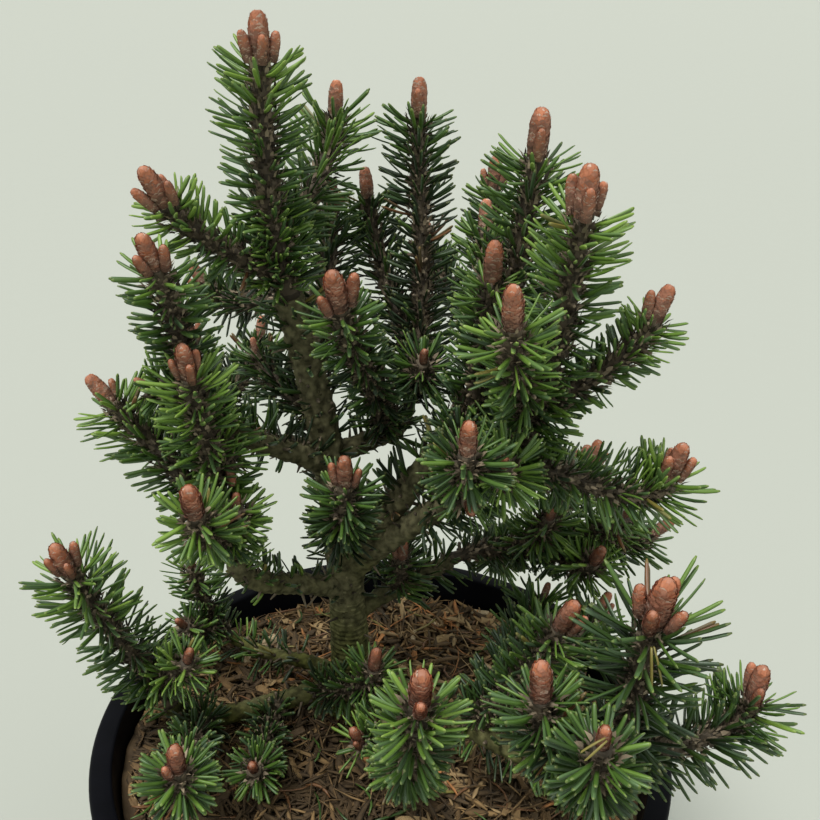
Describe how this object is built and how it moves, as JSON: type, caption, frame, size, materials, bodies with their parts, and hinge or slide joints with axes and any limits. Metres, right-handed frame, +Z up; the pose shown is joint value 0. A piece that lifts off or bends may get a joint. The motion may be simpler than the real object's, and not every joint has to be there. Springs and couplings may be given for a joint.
{
  "type": "potted dwarf pine",
  "caption": "Young bushy mugo pine with upright needle-clad shoots and brown resinous buds, in a round black nursery pot topped with shredded bark",
  "frame": {"origin": "centre of the pot's flat underside", "axes": "+Z up along the pot's axis, +X to the right and -Y towards the viewer of the picture"},
  "size_m": [0.2187, 0.2023, 0.3695],
  "materials": {
    "pot": "black moulded plastic with a soft sheen",
    "bark": "shredded brown potting bark, rough and dry",
    "limb": "rough grey-brown bark with fine ridges",
    "foliage": "green needles with a slight sheen"
  },
  "bodies": {
    "root": {"pot": "pot", "potting_bark": "bark", "trunk": "limb", "bough_left_upper": "limb", "bough_right_upper": "limb", "bough_right_main": "limb", "bough_right_low": "limb", "bough_left_low": "limb", "bough_right_back": "limb", "bough_back_left": "limb", "bough_left_soil": "limb", "bough_front_right": "limb", "bough_front": "limb", "bough_back_low": "limb", "bough_back_high": "limb", "shoots_crown": "foliage", "shoots_left_upper": "foliage", "shoots_left_low": "foliage", "shoots_left_tip": "foliage", "shoot_left_front": "foliage", "shoot_left_inner": "foliage", "shoots_back_low": "foliage", "shoots_back_left": "foliage", "shoot_trunk_front": "foliage", "shoots_behind": "foliage", "shoot_trunk_side": "foliage", "shoot_right_crest": "foliage", "shoots_right_upper": "foliage", "shoots_centre": "foliage", "shoots_right": "foliage", "shoots_right_back": "foliage", "shoot_back_inner": "foliage", "shoots_back_high": "foliage", "shoots_front_right": "foliage", "shoots_right_inner": "foliage", "shoot_front": "foliage", "shoot_front_inner": "foliage", "shoot_foot": "foliage"}
  },
  "joints": []
}
